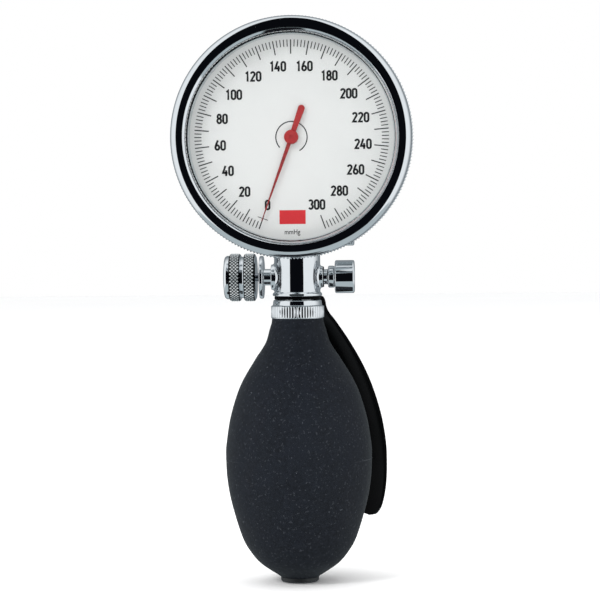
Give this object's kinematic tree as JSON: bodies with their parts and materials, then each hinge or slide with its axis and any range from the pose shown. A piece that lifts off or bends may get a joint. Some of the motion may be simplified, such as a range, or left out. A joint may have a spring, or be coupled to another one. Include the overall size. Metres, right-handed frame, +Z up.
{
  "type": "aneroid sphygmomanometer hand unit",
  "caption": "Palm-held aneroid blood pressure gauge on a chromed valve body with bleed valve, two hose connectors, rubber inflation bulb and swivelling palm spoon.",
  "frame": {"origin": "centre of the rubber bulb at its widest section, where the palm holds it", "axes": "+Z up the valve body axis towards the gauge, -Y out of the dial, +X out of the hose connectors"},
  "size_m": [0.0716, 0.056, 0.1699],
  "materials": {
    "chrome_plate": "bright chromium plate on turned brass",
    "bright_steel": "satin",
    "movement_brass": "machined",
    "movement_steel": "turned",
    "bulb_rubber": "matt moulded",
    "seal_rubber": "matt",
    "black_enamel": "glossy enamel on steel sheet",
    "crystal_glass": "polished",
    "dial_paint": "satin white print on sheet",
    "pointer_red": "satin",
    "black_plastic": "satin moulded"
  },
  "bodies": {
    "hand_unit": {"base_plate": "movement_brass", "bezel": "chrome_plate", "bleed_bush": "chrome_plate", "bleed_packing": "seal_rubber", "bulb": "bulb_rubber", "bulb_spigot": "chrome_plate", "capsule_front_shell": "movement_brass", "capsule_rear_shell": "movement_brass", "connector_seals": "seal_rubber", "crystal": "crystal_glass", "crystal_gasket": "seal_rubber", "delivery_cage": "movement_brass", "dial": "dial_paint", "dial_ring": "bright_steel", "dial_seat": "bright_steel", "foot_screws": "movement_steel", "gauge_case": "chrome_plate", "gauge_union": "movement_brass", "hairspring": "movement_steel", "hairspring_stud": "movement_steel", "inlet_cage": "movement_brass", "inlet_filter": "movement_brass", "inlet_valve_body": "black_plastic", "lower_connector_sleeve": "chrome_plate", "lower_connector_stem": "chrome_plate", "movement_feet": "movement_brass", "movement_pillars": "movement_brass", "movement_screws": "movement_steel", "ring_nut": "chrome_plate", "top_plate": "movement_brass", "union_seal": "seal_rubber", "upper_connector_sleeve": "chrome_plate", "upper_connector_stem": "chrome_plate", "valve_body": "chrome_plate"},
    "spoon": {"palm_spoon": "black_enamel"},
    "pointer_set": {"pinion_arbor": "movement_steel", "pointer": "pointer_red", "pointer_hub": "pointer_red"},
    "sector": {"sector_gear": "movement_brass"},
    "rocker": {"rocking_shaft": "movement_brass"},
    "capsule_lift_pin": {"capsule_post": "movement_brass"},
    "needle": {"bleed_needle": "movement_steel"},
    "knob_set": {"bleed_spindle": "movement_steel", "bleed_knob": "chrome_plate", "knob_cap": "chrome_plate"},
    "delivery_flap": {"delivery_disc": "seal_rubber"},
    "inlet_flap": {"inlet_disc": "seal_rubber"}
  },
  "joints": [
    {"name": "spoon_swivel", "type": "hinge", "parent": "hand_unit", "child": "spoon", "pos_m": [0, 0, 0.0478], "axis": [0, 0, 1], "range_deg": [0, 107]},
    {"name": "sector_turn", "type": "hinge", "parent": "hand_unit", "child": "sector", "pos_m": [-0.005, -0.0183, 0.1129], "axis": [0, -1, 0], "range_deg": [0, 40]},
    {"name": "pointer_spin", "type": "hinge", "parent": "hand_unit", "child": "pointer_set", "pos_m": [0, -0.0183, 0.0956], "axis": [0, 1, 0], "range_deg": [0, 320], "stiffness_Nm_per_rad": 0.000004, "springref_deg": -57.3},
    {"name": "rocker_tip", "type": "hinge", "parent": "hand_unit", "child": "rocker", "pos_m": [-0.005, -0.0149, 0.0956], "axis": [0, 0, -1], "range_deg": [0, 11.5]},
    {"name": "capsule_lift", "type": "slide", "parent": "hand_unit", "child": "capsule_lift_pin", "axis": [0, -1, 0], "range_m": [0, 0.001]},
    {"name": "bleed_travel", "type": "slide", "parent": "hand_unit", "child": "needle", "axis": [-1, 0, 0], "range_m": [0, 0.001]},
    {"name": "bleed_turn", "type": "hinge", "parent": "needle", "child": "knob_set", "pos_m": [-0.0165, 0, 0.0541], "axis": [-1, 0, 0], "range_deg": [0, 720]},
    {"name": "delivery_lift", "type": "slide", "parent": "hand_unit", "child": "delivery_flap", "axis": [0, 0, 1], "range_m": [0, 0.0004]},
    {"name": "inlet_lift", "type": "slide", "parent": "hand_unit", "child": "inlet_flap", "axis": [0, 0, 1], "range_m": [0, 0.0004]}
  ],
  "couplings": [
    {"joint": "pointer_spin", "follows": "sector_turn", "ratio": 8},
    {"joint": "rocker_tip", "follows": "sector_turn", "ratio": 0.2875},
    {"joint": "capsule_lift", "follows": "sector_turn", "m_per_rad": 0.0014324},
    {"joint": "bleed_turn", "follows": "bleed_travel", "rad_per_m": 12566}
  ]
}
